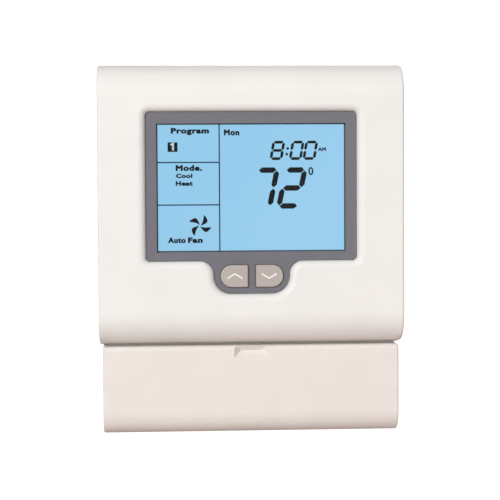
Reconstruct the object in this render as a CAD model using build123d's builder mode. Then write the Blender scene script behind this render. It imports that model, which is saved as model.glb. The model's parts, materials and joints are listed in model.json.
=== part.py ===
from build123d import *
from math import cos, radians, sin, sqrt
import os

# A wall thermostat: a removable head that plugs onto a screwed wall plate.
# All sizes are millimetres.  +Z is up, +X is to the viewer's right, and the wall
# is the plane y = 0 with the viewer on the -Y side.  A piece's distance from the
# wall is called its depth, so a face at depth d lies at y = -d.

os.makedirs("parts", exist_ok=True)

# ---- housing ------------------------------------------------------------------
WIDTH = 121.0
HEIGHT = 147.0
DEPTH = 28.0
HALF_WIDTH = WIDTH / 2
TOP = HEIGHT / 2
BOTTOM = -HEIGHT / 2
COVER_BACK = 8.4           # depth of the parting line between cover and rear case
COVER_ROUND = 12.0         # radius of the cover's top and bottom front edges
COVER_LOWER_ROUND_Z = -25.0
COVER_UNDER_ANGLE = 82.0   # the lower rounding turns this far, so the underside falls to the back
COVER_WALL = 2.0
COVER_SIDE_EDGE = 1.0
UNDER_FALL = 1 / 7.1       # fall of the underside per millimetre towards the wall

# ---- control panel behind the door ---------------------------------------------
PANEL_HALF = 57.1
PANEL_FRONT = 17.0
PANEL_WALL = 1.8
PANEL_SIDE = 1.6
PANEL_LOWER_ROUND = 5.8
RECESS_FRONT = 13.4        # above its keys the panel is set back, to make room for the door's lip
RECESS_LOW = -44.3

# ---- door and its hinge --------------------------------------------------------
DOOR_HALF = 59.15
DOOR_FRONT = 21.0
DOOR_TOP = -38.2
DOOR_WALL = 1.8
DOOR_SIDE = 1.6
DOOR_TOP_ROUND = 1.8
DOOR_LOWER_ROUND = 8.6
DOOR_BACK = 9.5
DOOR_RETURN_BACK = 14.0    # back of the lip along the door's top edge
DOOR_RETURN_FALL = 1.1
DOOR_END_ROUND = 0.8
HINGE_DEPTH = 11.2
HINGE_Z = -68.6
HINGE_PIN_R = 1.5
HINGE_HOLE_R = 1.58
NOSE_R = 2.7               # rounded lower edge of the panel, about the hinge axis
NOTCH_HALF = 6.9
NOTCH_TOP = -37.4
NOTCH_LOW = -43.3
NOTCH_DEEP = 3.4
NOTCH_DEEP_Z = -40.5
NOTCH_RUN = 2.7
NOTCH_LIP_ROUND = 0.5
NOTCH_PATCH_BACK = 16.4    # the door is thickened behind the notch
NOTCH_PATCH_TOP = -39.0
NOTCH_PATCH_LOW = -43.4

# ---- bezel, display opening and arrow keys --------------------------------------
BEZEL_HALF = 41.8
BEZEL_TOP = 54.9
BEZEL_BOTTOM = -4.1
BEZEL_CORNER = 1.8
TONGUE_HALF = 15.05
TONGUE_BOTTOM = -17.1
TONGUE_ROUND = 7.05
TONGUE_SHOULDER = 5.4
RIM_ROUND = 3.0            # rolled edge of the cover round the bezel
BEZEL_FRONT = 25.4
BEZEL_STEP = 23.9          # back of the bezel's front plate
BEZEL_BACK = 22.9
BEZEL_GAP = 0.06
WINDOW_HALF = 37.4
WINDOW_TOP = 50.2
WINDOW_BOTTOM = -0.5
WINDOW_MID = (WINDOW_TOP + WINDOW_BOTTOM) / 2
ARROW_FLAT_X = 1.55
ARROW_ARC_X = 8.0
ARROW_Z = -10.05
ARROW_R = 4.4
ARROW_FRONT = 26.6
KEY_GAP = 0.2

# ---- boards ---------------------------------------------------------------------
DISPLAY_BOARD_BACK = 16.4
DISPLAY_BOARD_FRONT = 17.6
DISPLAY_BOARD_HALF = 50.0
DISPLAY_BOARD_TOP = 58.0
DISPLAY_BOARD_LOW = -18.0
POWER_BOARD_BACK = 9.8
POWER_BOARD_FRONT = 11.4
POWER_BOARD_HALF = 48.0
POWER_BOARD_TOP = 66.0
POWER_BOARD_LOW = -63.0

# ---- push switches and panel keys ------------------------------------------------
SWITCH_SIZE = 6.0
SWITCH_HEIGHT = 2.0
PLUNGER_R = 1.5
PLUNGER_HOLE_R = 1.57
PLUNGER_PROUD = 0.6
PLUNGER_INSIDE = 0.9
PLUNGER_HOLE_DEPTH = 1.7
SWITCH_ARROW_X = 7.2
PANEL_KEY_Z = -56.0
PANEL_KEY_WIDTH = 10.0
PANEL_KEY_HEIGHT = 5.6
PANEL_KEY_FRONT = 18.2
PANEL_KEYS = {"program": -40.0, "mode": -20.0, "fan": 0.0, "clock": 20.0, "hold": 40.0}

# ---- rear case --------------------------------------------------------------------
CASE_BACK = 0.6
CASE_FLOOR_BACK = 6.6
CASE_FRONT = 8.2
CASE_WALL = 1.6
CASE_CORNER = 1.0
CASE_STEP_Z = -64.9        # below this the case steps back to clear the opened door
CASE_STEP_FRONT = 5.3
CASE_STEP_WALL = 1.4
CASE_BOTTOM = -72.2

# ---- wall plate ----------------------------------------------------------------------
PLATE_HALF_X = 56.5
PLATE_HALF_Z = 69.0
PLATE_FLOOR = 2.0
PLATE_RIM = 3.6
PLATE_WALL = 1.6
WIRE_OPENING = (46.0, 20.0)
WIRE_OPENING_Z = -2.0
WALL_SLOT_SPACING = 83.3
WALL_SLOT_LENGTH = 8.0
WALL_HOLE_SPACING = 92.0
WALL_SCREW_HOLE = 4.4

# ---- terminals ------------------------------------------------------------------------
TERMINALS = 8
TERMINAL_PITCH = 7.0
TERMINAL_Z = 20.0
TERMINAL_SIZE = (56.0, 13.0)
TERMINAL_FRONT = 8.6
TERMINAL_SCREW_Z = 17.2
TERMINAL_WELL_R = 2.8
TERMINAL_WELL_DEEP = 5.4
TERMINAL_SOCKET_Z = 24.0
TERMINAL_SOCKET_SIDE = 1.3
TERMINAL_SOCKET_DEEP = 5.2
TERMINAL_ENTRY = (3.6, 2.4)
TERMINAL_ENTRY_DEPTH = 4.6
TERMINAL_ENTRY_DEEP = 2.2

# ---- fastener positions -------------------------------------------------------------------
CASE_SCREWS = [(-54.5, 62.0), (54.5, 62.0)]
CASE_SCREWS_LOW = [(-51.5, -59.5), (51.5, -59.5)]
DISPLAY_SCREWS = [(-46.5, 53.0), (46.5, 53.0), (-46.5, -12.0), (46.5, -12.0)]
POWER_SCREWS = [(-42.0, 60.0), (42.0, 60.0), (-42.0, -49.0), (42.0, -49.0)]
PEGS = [(-30.0, 60.0), (30.0, 60.0), (-30.0, -52.0), (30.0, -52.0)]

# The side plane looks along X: its own X is depth and its own Y is height.
SIDE = Plane(origin=(0, 0, 0), x_dir=(0, -1, 0), z_dir=(-1, 0, 0))


def facing(depth):
    """Plane parallel to the wall at this depth: its own X is X and its own Y is height."""
    return Plane.XZ.offset(depth)


def bezel_outline(depth, grow=0.0):
    """Outline of the bezel with its tongue, grown or shrunk all round."""
    with BuildSketch(facing(depth)) as outline:
        with Locations((0, (BEZEL_TOP + BEZEL_BOTTOM) / 2)):
            RectangleRounded(2 * BEZEL_HALF, BEZEL_TOP - BEZEL_BOTTOM, BEZEL_CORNER)
        tongue_height = 3 * TONGUE_ROUND
        with Locations((0, TONGUE_BOTTOM + tongue_height / 2)):
            RectangleRounded(2 * TONGUE_HALF, tongue_height, TONGUE_ROUND)
        shoulders = outline.vertices().filter_by_position(
            Axis.Y, BEZEL_BOTTOM - 0.01, BEZEL_BOTTOM + 0.01
        )
        fillet(shoulders.sort_by(lambda v: abs(v.X))[:2], TONGUE_SHOULDER)
        if grow:
            offset(amount=grow)
    return outline.sketch


def arrow_outline(depth, side, grow=0.0):
    """D-shaped outline of an arrow key; side is -1 for the left key and 1 for the right."""
    with BuildSketch(facing(depth)) as outline:
        with Locations((side * (ARROW_FLAT_X + ARROW_ARC_X) / 2, ARROW_Z)):
            Rectangle(ARROW_ARC_X - ARROW_FLAT_X, 2 * ARROW_R)
        with Locations((side * ARROW_ARC_X, ARROW_Z)):
            Circle(ARROW_R)
        fillet(outline.vertices().sort_by(lambda v: abs(v.X))[:2], 0.6)
        if grow:
            offset(amount=grow)
    return outline.sketch


def block(x, z, width, height, back, front):
    """Plain rectangular block between two depths, to be added to a part."""
    with BuildSketch(facing(back)) as base:
        with Locations((x, z)):
            Rectangle(width, height)
    return extrude(base.sketch, amount=front - back, mode=Mode.PRIVATE)


# =============================== wall plate group ==========================================

with BuildPart() as wall_plate:
    with BuildSketch(facing(0)):
        RectangleRounded(2 * PLATE_HALF_X, 2 * PLATE_HALF_Z, 4)
    extrude(amount=PLATE_FLOOR)
    with BuildSketch(facing(PLATE_FLOOR)):
        rim = RectangleRounded(2 * PLATE_HALF_X, 2 * PLATE_HALF_Z, 4)
        offset(rim, -PLATE_WALL, mode=Mode.SUBTRACT)
        with Locations((0, WIRE_OPENING_Z)):
            Rectangle(WIRE_OPENING[0] + 4, WIRE_OPENING[1] + 4)
        with Locations((-PEGS[1][0], 0), (PEGS[1][0], 0)):
            Rectangle(PLATE_WALL, 2 * PLATE_HALF_Z - 2)
        with Locations((0, -30), (0, 60)):
            Rectangle(2 * PLATE_HALF_X - 2, PLATE_WALL)
    extrude(amount=PLATE_RIM - PLATE_FLOOR)
    with BuildSketch(facing(0)):
        with Locations((0, WIRE_OPENING_Z)):
            RectangleRounded(*WIRE_OPENING, 3)
    extrude(amount=PLATE_RIM, mode=Mode.SUBTRACT)
    # locating pegs for the head, with tapered tips
    with BuildSketch(facing(PLATE_FLOOR)):
        with Locations(*PEGS):
            Circle(2)
    extrude(amount=CASE_FRONT - 0.4 - PLATE_FLOOR)
    peg_tips = wall_plate.faces().filter_by(GeomType.PLANE).sort_by(Axis.Y)[:len(PEGS)]
    chamfer(peg_tips.edges(), 0.7)
    # slots for the upper and lower wall screws, plain holes for the side ones
    with BuildSketch(facing(0)):
        with GridLocations(0, WALL_SLOT_SPACING, 1, 2):
            SlotOverall(WALL_SLOT_LENGTH, WALL_SCREW_HOLE, rotation=90)
        with GridLocations(WALL_HOLE_SPACING, 0, 2, 1):
            Circle(WALL_SCREW_HOLE / 2)
    extrude(amount=PLATE_FLOOR, mode=Mode.SUBTRACT)
wall_plate.part.label = "wall_plate"
export_step(wall_plate.part, "parts/wall_plate.step")

with BuildPart() as terminal_block:
    with BuildSketch(facing(PLATE_FLOOR)):
        with Locations((0, TERMINAL_Z)):
            Rectangle(*TERMINAL_SIZE)
    extrude(amount=TERMINAL_FRONT - PLATE_FLOOR)
    chamfer(terminal_block.faces().sort_by(Axis.Y)[0].edges(), 0.5)
    # screw wells
    with BuildSketch(facing(TERMINAL_FRONT)):
        with Locations((0, TERMINAL_SCREW_Z)):
            with GridLocations(TERMINAL_PITCH, 0, TERMINALS, 1):
                Circle(TERMINAL_WELL_R)
    extrude(amount=-TERMINAL_WELL_DEEP, mode=Mode.SUBTRACT)
    # sockets for the head's pins
    with BuildSketch(facing(TERMINAL_FRONT)):
        with Locations((0, TERMINAL_SOCKET_Z)):
            with GridLocations(TERMINAL_PITCH, 0, TERMINALS, 1):
                Rectangle(TERMINAL_SOCKET_SIDE, TERMINAL_SOCKET_SIDE)
    extrude(amount=-TERMINAL_SOCKET_DEEP, mode=Mode.SUBTRACT)
    # wire entries in the lower face
    with BuildSketch(Plane.XY.offset(TERMINAL_Z - TERMINAL_SIZE[1] / 2)):
        with Locations((0, -TERMINAL_ENTRY_DEPTH)):
            with GridLocations(TERMINAL_PITCH, 0, TERMINALS, 1):
                SlotOverall(*TERMINAL_ENTRY)
    extrude(amount=TERMINAL_ENTRY_DEEP, mode=Mode.SUBTRACT)
terminal_block.part.label = "terminal_block"
export_step(terminal_block.part, "parts/terminal_block.step")

with BuildPart() as terminal_screws:
    with BuildSketch(facing(3.4)):
        with Locations((0, TERMINAL_SCREW_Z)):
            with GridLocations(TERMINAL_PITCH, 0, TERMINALS, 1):
                Circle(1.4)
    extrude(amount=3.4)
    with BuildSketch(facing(6.8)):
        with Locations((0, TERMINAL_SCREW_Z)):
            with GridLocations(TERMINAL_PITCH, 0, TERMINALS, 1):
                Circle(2.5)
    extrude(amount=1.5)
    with BuildSketch(facing(8.3)):
        with Locations((0, TERMINAL_SCREW_Z)):
            with GridLocations(TERMINAL_PITCH, 0, TERMINALS, 1):
                Rectangle(0.7, 5.2)
    extrude(amount=-0.8, mode=Mode.SUBTRACT)
terminal_screws.part.label = "terminal_screws"
export_step(terminal_screws.part, "parts/terminal_screws.step")

with BuildPart() as terminal_clamps:
    with BuildSketch(facing(5.4)):
        with Locations((0, TERMINAL_SCREW_Z)):
            with GridLocations(TERMINAL_PITCH, 0, TERMINALS, 1):
                RectangleRounded(3.7, 3.7, 0.3)
            with GridLocations(TERMINAL_PITCH, 0, TERMINALS, 1):
                Circle(1.45, mode=Mode.SUBTRACT)
    extrude(amount=1.0)
terminal_clamps.part.label = "terminal_clamps"
export_step(terminal_clamps.part, "parts/terminal_clamps.step")

# =============================== rear case ===================================================

with BuildPart() as rear_case:
    # outline: the lower part is as narrow as the door
    with BuildSketch(facing(CASE_BACK)) as case_outline:
        with BuildLine():
            Polyline(
                (HALF_WIDTH, TOP),
                (HALF_WIDTH, DOOR_TOP),
                (DOOR_HALF, DOOR_TOP),
                (DOOR_HALF, CASE_BOTTOM),
                (-DOOR_HALF, CASE_BOTTOM),
                (-DOOR_HALF, DOOR_TOP),
                (-HALF_WIDTH, DOOR_TOP),
                (-HALF_WIDTH, TOP),
                close=True,
            )
        make_face()
    extrude(amount=CASE_FRONT - CASE_BACK)
    case_corners = rear_case.edges().filter_by(Axis.Y).group_by(Axis.Z)
    fillet(case_corners[0] + case_corners[-1], CASE_CORNER)
    # hollow towards the wall
    with BuildSketch(facing(CASE_BACK)):
        add(case_outline.sketch_local)
        offset(amount=-CASE_WALL, kind=Kind.INTERSECTION)
    extrude(amount=CASE_FLOOR_BACK - CASE_BACK, mode=Mode.SUBTRACT)
    # step back along the bottom, with a floor of its own
    with BuildSketch(SIDE):
        with BuildLine():
            Polyline(
                (CASE_STEP_FRONT, BOTTOM),
                (CASE_STEP_FRONT, CASE_STEP_Z),
                (CASE_FRONT + 1, CASE_STEP_Z),
                (CASE_FRONT + 1, BOTTOM),
                close=True,
            )
        make_face()
    extrude(amount=HALF_WIDTH, both=True, mode=Mode.SUBTRACT)
    with BuildSketch(SIDE):
        with BuildLine():
            Polyline(
                (CASE_FLOOR_BACK + 0.4, CASE_STEP_Z),
                (CASE_STEP_FRONT, CASE_STEP_Z),
                (CASE_STEP_FRONT, CASE_BOTTOM + 0.4),
                (CASE_STEP_FRONT - CASE_STEP_WALL, CASE_BOTTOM + 0.4),
                (CASE_STEP_FRONT - CASE_STEP_WALL, CASE_STEP_Z + CASE_WALL),
                (CASE_FLOOR_BACK + 0.4, CASE_STEP_Z + CASE_WALL),
                close=True,
            )
        make_face()
    extrude(amount=DOOR_HALF - 0.4, both=True)
    # bosses for the power board, through the floor
    with BuildSketch(facing(4.8)):
        with Locations(*POWER_SCREWS):
            Circle(3)
    extrude(amount=POWER_BOARD_BACK - 4.8)
    with BuildSketch(facing(5.4)):
        with Locations(*POWER_SCREWS):
            Circle(1.27)
    extrude(amount=POWER_BOARD_BACK - 5.4, mode=Mode.SUBTRACT)
    # window for the terminal block, holes for the pegs and the case screws
    with BuildSketch(facing(CASE_BACK)):
        with Locations((0, TERMINAL_Z)):
            RectangleRounded(TERMINAL_SIZE[0] + 3, TERMINAL_SIZE[1] + 3, 1.5)
        with Locations(*PEGS):
            Circle(2.35)
        with Locations(*CASE_SCREWS, *CASE_SCREWS_LOW):
            Circle(1.7)
    extrude(amount=CASE_FRONT, mode=Mode.SUBTRACT)
    # vents: through the bottom skirt and up through the step's wall
    with BuildSketch(Plane.XY.offset(BOTTOM)):
        with Locations((0, -2.6)):
            with GridLocations(6, 0, 15, 1):
                SlotOverall(3.6, 1.8)
        with Locations((0, -6.9)):
            with GridLocations(6, 0, 15, 1):
                SlotOverall(3.6, 1.3)
    extrude(amount=CASE_STEP_Z + CASE_WALL + 0.5 - BOTTOM, mode=Mode.SUBTRACT)
rear_case.part.label = "rear_case"
export_step(rear_case.part, "parts/rear_case.step")

# =============================== front cover ===================================================

UNDER_TURN = radians(COVER_UNDER_ANGLE)


def cover_profile(round_radius, wall, back):
    """Side outline of the cover's upper part, its walls set in by wall."""
    centre_depth = DEPTH - COVER_ROUND
    front = centre_depth + round_radius
    end_depth = centre_depth + round_radius * cos(UNDER_TURN)
    end_z = COVER_LOWER_ROUND_Z - round_radius * sin(UNDER_TURN)
    upper_z = TOP - COVER_ROUND
    half = sqrt(0.5) * round_radius
    half_turn = UNDER_TURN / 2
    middle = (
        centre_depth + round_radius * cos(half_turn),
        COVER_LOWER_ROUND_Z - round_radius * sin(half_turn),
    )
    with BuildSketch(SIDE) as profile:
        with BuildLine():
            Line((back, TOP - wall), (centre_depth, TOP - wall))
            ThreePointArc(
                (centre_depth, TOP - wall), (centre_depth + half, upper_z + half), (front, upper_z)
            )
            Line((front, upper_z), (front, COVER_LOWER_ROUND_Z))
            ThreePointArc((front, COVER_LOWER_ROUND_Z), middle, (end_depth, end_z))
            under_back = (back, end_z - (end_depth - back) * UNDER_FALL)
            Line((end_depth, end_z), under_back)
            Line(under_back, (back, TOP - wall))
        make_face()
    return profile.sketch


def panel_profile(wall):
    """Side outline of the control panel's box: recess, flat front, rounded foot, nose at the hinge."""
    front = PANEL_FRONT - wall
    recess = RECESS_FRONT - wall
    shelf_z = RECESS_LOW - wall
    foot_r = PANEL_LOWER_ROUND - wall
    nose_r = NOSE_R - wall
    foot_z = HINGE_Z - nose_r + foot_r
    nose_back = HINGE_DEPTH - nose_r
    with BuildSketch(SIDE) as profile:
        with BuildLine():
            Line((nose_back, COVER_LOWER_ROUND_Z - 6), (recess, COVER_LOWER_ROUND_Z - 6))
            Line((recess, COVER_LOWER_ROUND_Z - 6), (recess, shelf_z))
            Line((recess, shelf_z), (front, shelf_z))
            Line((front, shelf_z), (front, foot_z))
            RadiusArc((front, foot_z), (HINGE_DEPTH, HINGE_Z - nose_r), foot_r)
            RadiusArc((HINGE_DEPTH, HINGE_Z - nose_r), (nose_back, HINGE_Z), nose_r)
            Line((nose_back, HINGE_Z), (nose_back, COVER_LOWER_ROUND_Z - 6))
        make_face()
    return profile.sketch


with BuildPart() as front_cover:
    extrude(cover_profile(COVER_ROUND, 0, COVER_BACK), amount=HALF_WIDTH, both=True)
    side_edges = front_cover.faces().filter_by(Axis.X).edges()
    fillet(side_edges.filter_by_position(Axis.Y, -DEPTH, -COVER_BACK - 0.01), COVER_SIDE_EDGE)
    extrude(panel_profile(0), amount=PANEL_HALF, both=True)
    # hollow: the upper part, the panel's box, and the open back between them
    extrude(
        cover_profile(COVER_ROUND - COVER_WALL, COVER_WALL, COVER_BACK - 1),
        amount=HALF_WIDTH - COVER_WALL,
        both=True,
        mode=Mode.SUBTRACT,
    )
    extrude(
        panel_profile(PANEL_WALL),
        amount=PANEL_HALF - PANEL_SIDE,
        both=True,
        mode=Mode.SUBTRACT,
    )
    with BuildSketch(SIDE):
        with BuildLine():
            Polyline(
                (COVER_BACK - 1, COVER_LOWER_ROUND_Z - 6),
                (HINGE_DEPTH, COVER_LOWER_ROUND_Z - 6),
                (HINGE_DEPTH, CASE_STEP_Z + 1),
                (COVER_BACK - 1, CASE_STEP_Z + 1),
                close=True,
            )
        make_face()
    extrude(amount=PANEL_HALF - PANEL_SIDE, both=True, mode=Mode.SUBTRACT)
    # thick frame round the display, then the opening with its rolled rim
    extrude(bezel_outline(BEZEL_STEP + 0.1, RIM_ROUND + 1.2), amount=3)
    extrude(bezel_outline(BEZEL_BACK), amount=DEPTH - BEZEL_BACK + 1, mode=Mode.SUBTRACT)
    front_face = front_cover.faces().filter_by(Axis.Y).sort_by(Axis.Y)[0]
    fillet(front_face.inner_wires()[0].edges(), RIM_ROUND)
    # bosses for the case screws and the display board
    with BuildSketch(facing(COVER_BACK)):
        with Locations(*CASE_SCREWS):
            Circle(3)
    extrude(amount=DEPTH - COVER_WALL + 0.4 - COVER_BACK)
    with BuildSketch(facing(COVER_BACK)):
        with Locations(*CASE_SCREWS_LOW):
            Circle(3)
    extrude(amount=PANEL_FRONT - 1 - COVER_BACK)
    with BuildSketch(facing(DISPLAY_BOARD_FRONT)):
        with Locations(*DISPLAY_SCREWS):
            Circle(2.5)
    extrude(amount=DEPTH - COVER_WALL + 0.4 - DISPLAY_BOARD_FRONT)
    # pilot holes
    with BuildSketch(facing(COVER_BACK)):
        with Locations(*CASE_SCREWS, *CASE_SCREWS_LOW):
            Circle(1.32)
    extrude(amount=5.8, mode=Mode.SUBTRACT)
    with BuildSketch(facing(DISPLAY_BOARD_FRONT)):
        with Locations(*DISPLAY_SCREWS):
            Circle(1.07)
    extrude(amount=5, mode=Mode.SUBTRACT)
    # key holes in the control panel
    with BuildSketch(facing(PANEL_FRONT - PANEL_WALL - 1)):
        with Locations(*[(x, PANEL_KEY_Z) for x in PANEL_KEYS.values()]):
            RectangleRounded(PANEL_KEY_WIDTH + 2 * KEY_GAP, PANEL_KEY_HEIGHT + 2 * KEY_GAP, 1.2)
    extrude(amount=PANEL_WALL + 2, mode=Mode.SUBTRACT)
    # hinge holes in the cheeks
    with BuildSketch(SIDE):
        with Locations((HINGE_DEPTH, HINGE_Z)):
            Circle(HINGE_HOLE_R)
    extrude(amount=PANEL_HALF + 1, both=True, mode=Mode.SUBTRACT)
    # vents along the top
    with BuildSketch(Plane.XY.offset(TOP)):
        with Locations((0, -12.6)):
            with GridLocations(5, 0, 17, 1):
                SlotOverall(4.4, 2, rotation=90)
    extrude(amount=-COVER_WALL - 1, mode=Mode.SUBTRACT)
front_cover.part.label = "front_cover"
export_step(front_cover.part, "parts/front_cover.step")

# =============================== bezel and display ================================================

with BuildPart() as display_bezel:
    extrude(bezel_outline(BEZEL_STEP, -BEZEL_GAP), amount=BEZEL_FRONT - BEZEL_STEP)
    chamfer(display_bezel.faces().sort_by(Axis.Y)[0].edges(), 0.2)
    extrude(bezel_outline(BEZEL_BACK, 1.5), amount=BEZEL_STEP - BEZEL_BACK)
    # opening over the glass, and the rebate behind it for the window
    with BuildSketch(facing(BEZEL_BACK)):
        with Locations((0, WINDOW_MID)):
            Rectangle(2 * WINDOW_HALF, WINDOW_TOP - WINDOW_BOTTOM)
    extrude(amount=BEZEL_FRONT, mode=Mode.SUBTRACT)
    with BuildSketch(facing(BEZEL_BACK)):
        with Locations((0, WINDOW_MID)):
            Rectangle(2 * WINDOW_HALF + 3.2, WINDOW_TOP - WINDOW_BOTTOM + 3.2)
    extrude(amount=BEZEL_STEP - BEZEL_BACK, mode=Mode.SUBTRACT)
    # pocket behind the tongue for the keys' flanges, and the two key holes
    with BuildSketch(facing(BEZEL_BACK)):
        with Locations((0, ARROW_Z - 0.1)):
            RectangleRounded(27.6, 11.2, 5.4)
    extrude(amount=BEZEL_STEP - BEZEL_BACK, mode=Mode.SUBTRACT)
    for side in (-1, 1):
        extrude(arrow_outline(BEZEL_BACK, side, KEY_GAP), amount=5, mode=Mode.SUBTRACT)
display_bezel.part.label = "display_bezel"
export_step(display_bezel.part, "parts/display_bezel.step")

with BuildPart() as display_window:
    with BuildSketch(facing(BEZEL_BACK + 0.15)):
        with Locations((0, WINDOW_MID)):
            Rectangle(2 * WINDOW_HALF + 3, WINDOW_TOP - WINDOW_BOTTOM + 3)
    extrude(amount=0.85)
display_window.part.label = "display_window"
export_step(display_window.part, "parts/display_window.step")

GLASS_HALF = 39.0
GLASS_TOP = 51.6
GLASS_LOW = -3.0
GLASS_LEDGE = 2.4          # the front glass overhangs the rear one by this along the bottom

with BuildPart() as lcd_front_glass:
    with BuildSketch(facing(22.0)):
        with Locations((0, (GLASS_TOP + GLASS_LOW) / 2)):
            Rectangle(2 * GLASS_HALF, GLASS_TOP - GLASS_LOW)
    extrude(amount=0.8)
lcd_front_glass.part.label = "lcd_front_glass"
export_step(lcd_front_glass.part, "parts/lcd_front_glass.step")

with BuildPart() as lcd_rear_glass:
    with BuildSketch(facing(21.2)):
        with Locations((0, (GLASS_TOP + GLASS_LOW + GLASS_LEDGE) / 2)):
            Rectangle(2 * GLASS_HALF, GLASS_TOP - GLASS_LOW - GLASS_LEDGE)
    extrude(amount=0.8)
lcd_rear_glass.part.label = "lcd_rear_glass"
export_step(lcd_rear_glass.part, "parts/lcd_rear_glass.step")

with BuildPart() as light_guide:
    with BuildSketch(facing(18.0)):
        with Locations((0, (GLASS_TOP + GLASS_LOW + GLASS_LEDGE) / 2)):
            RectangleRounded(2 * GLASS_HALF - 4, GLASS_TOP - GLASS_LOW - GLASS_LEDGE - 1, 1)
    extrude(amount=3)
    chamfer(light_guide.faces().sort_by(Axis.Y)[-1].edges(), 0.4)
light_guide.part.label = "light_guide"
export_step(light_guide.part, "parts/light_guide.step")

with BuildPart() as lcd_contact_strip:
    with BuildSketch(facing(DISPLAY_BOARD_FRONT)):
        with Locations((0, GLASS_LOW + GLASS_LEDGE / 2)):
            Rectangle(70, 1.8)
    extrude(amount=22.0 - DISPLAY_BOARD_FRONT)
lcd_contact_strip.part.label = "lcd_contact_strip"
export_step(lcd_contact_strip.part, "parts/lcd_contact_strip.step")

with BuildPart() as lcd_holder:
    with BuildSketch(facing(DISPLAY_BOARD_FRONT)):
        with Locations((0, (GLASS_TOP + GLASS_LOW) / 2)):
            RectangleRounded(2 * GLASS_HALF + 4.4, GLASS_TOP - GLASS_LOW + 2.6, 1)
            Rectangle(
                2 * GLASS_HALF + 0.2, GLASS_TOP - GLASS_LOW + 0.2, mode=Mode.SUBTRACT
            )
    extrude(amount=BEZEL_BACK - 0.1 - DISPLAY_BOARD_FRONT)
    # ledges at the sides carry the glass and leave a pocket for each light
    for side in (-1, 1):
        add(block(side * 38.3, 45, 1.8, 8, 17.6, 21.2))
        add(block(side * 38.3, 5, 1.8, 8, 17.6, 21.2))
lcd_holder.part.label = "lcd_holder"
export_step(lcd_holder.part, "parts/lcd_holder.step")

for side, name in ((-1, "left_backlight_led"), (1, "right_backlight_led")):
    with BuildPart() as led:
        add(block(side * 38.1, 25, 1.7, 4.0, DISPLAY_BOARD_FRONT, DISPLAY_BOARD_FRONT + 2.6))
        chamfer(led.faces().sort_by(Axis.Y)[0].edges(), 0.2)
    led.part.label = name
    export_step(led.part, f"parts/{name}.step")

# =============================== boards and components ==============================================

with BuildPart() as display_board:
    with BuildSketch(facing(DISPLAY_BOARD_BACK)):
        with Locations((0, (DISPLAY_BOARD_TOP + DISPLAY_BOARD_LOW) / 2)):
            RectangleRounded(2 * DISPLAY_BOARD_HALF, DISPLAY_BOARD_TOP - DISPLAY_BOARD_LOW, 1.5)
        with Locations(*DISPLAY_SCREWS):
            Circle(1.3, mode=Mode.SUBTRACT)
    extrude(amount=DISPLAY_BOARD_FRONT - DISPLAY_BOARD_BACK)
display_board.part.label = "display_board"
export_step(display_board.part, "parts/display_board.step")

with BuildPart() as power_board:
    with BuildSketch(facing(POWER_BOARD_BACK)):
        with Locations((0, (POWER_BOARD_TOP + POWER_BOARD_LOW) / 2)):
            RectangleRounded(2 * POWER_BOARD_HALF, POWER_BOARD_TOP - POWER_BOARD_LOW, 1.5)
        with Locations(*POWER_SCREWS):
            Circle(1.5, mode=Mode.SUBTRACT)
    extrude(amount=POWER_BOARD_FRONT - POWER_BOARD_BACK)
power_board.part.label = "power_board"
export_step(power_board.part, "parts/power_board.step")

JOIN_X = -40.0
JOIN_Z = 22.0
JOIN_SPLIT = 14.0

with BuildPart() as board_header:
    add(block(JOIN_X, JOIN_Z, 5, 31, POWER_BOARD_FRONT, JOIN_SPLIT - 0.1))
    with BuildSketch(facing(JOIN_SPLIT - 0.1)):
        with Locations((JOIN_X, JOIN_Z)):
            with GridLocations(2.54, 2.54, 2, 12):
                Rectangle(0.6, 0.6)
    extrude(amount=1.6)
board_header.part.label = "board_header"
export_step(board_header.part, "parts/board_header.step")

with BuildPart() as board_socket:
    add(block(JOIN_X, JOIN_Z, 5, 31, JOIN_SPLIT, DISPLAY_BOARD_BACK))
    with BuildSketch(facing(JOIN_SPLIT)):
        with Locations((JOIN_X, JOIN_Z)):
            with GridLocations(2.54, 2.54, 2, 12):
                Rectangle(0.8, 0.8)
    extrude(amount=1.8, mode=Mode.SUBTRACT)
board_socket.part.label = "board_socket"
export_step(board_socket.part, "parts/board_socket.step")

CHIP_X, CHIP_Z = 12.0, 24.0

with BuildPart() as microcontroller:
    add(block(CHIP_X, CHIP_Z, 10, 10, DISPLAY_BOARD_BACK - 1.5, DISPLAY_BOARD_BACK - 0.1))
    chamfer(microcontroller.faces().sort_by(Axis.Y)[-1].edges(), 0.25)
    with BuildSketch(facing(DISPLAY_BOARD_BACK - 0.5)):
        with Locations((CHIP_X, CHIP_Z)):
            with GridLocations(0.8, 0, 11, 1):
                Rectangle(0.35, 12.4)
            with GridLocations(0, 0.8, 1, 11):
                Rectangle(12.4, 0.35)
    extrude(amount=0.5)
microcontroller.part.label = "microcontroller"
export_step(microcontroller.part, "parts/microcontroller.step")

with BuildPart() as quartz_crystal:
    with BuildSketch(facing(DISPLAY_BOARD_BACK - 2.2)):
        with Locations((CHIP_X + 14, CHIP_Z)):
            SlotOverall(9, 3.4)
    extrude(amount=2.2)
    fillet(quartz_crystal.faces().sort_by(Axis.Y)[-1].edges(), 0.5)
quartz_crystal.part.label = "quartz_crystal"
export_step(quartz_crystal.part, "parts/quartz_crystal.step")

for name, x in (("heat_relay", -30.0), ("cool_relay", -12.0), ("fan_relay", 6.0)):
    with BuildPart() as relay:
        add(block(x, -26.5, 15, 9.6, POWER_BOARD_FRONT, POWER_BOARD_FRONT + 9.6))
        fillet(relay.faces().sort_by(Axis.Y)[0].edges(), 0.5)
    relay.part.label = name
    export_step(relay.part, f"parts/{name}.step")

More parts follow.
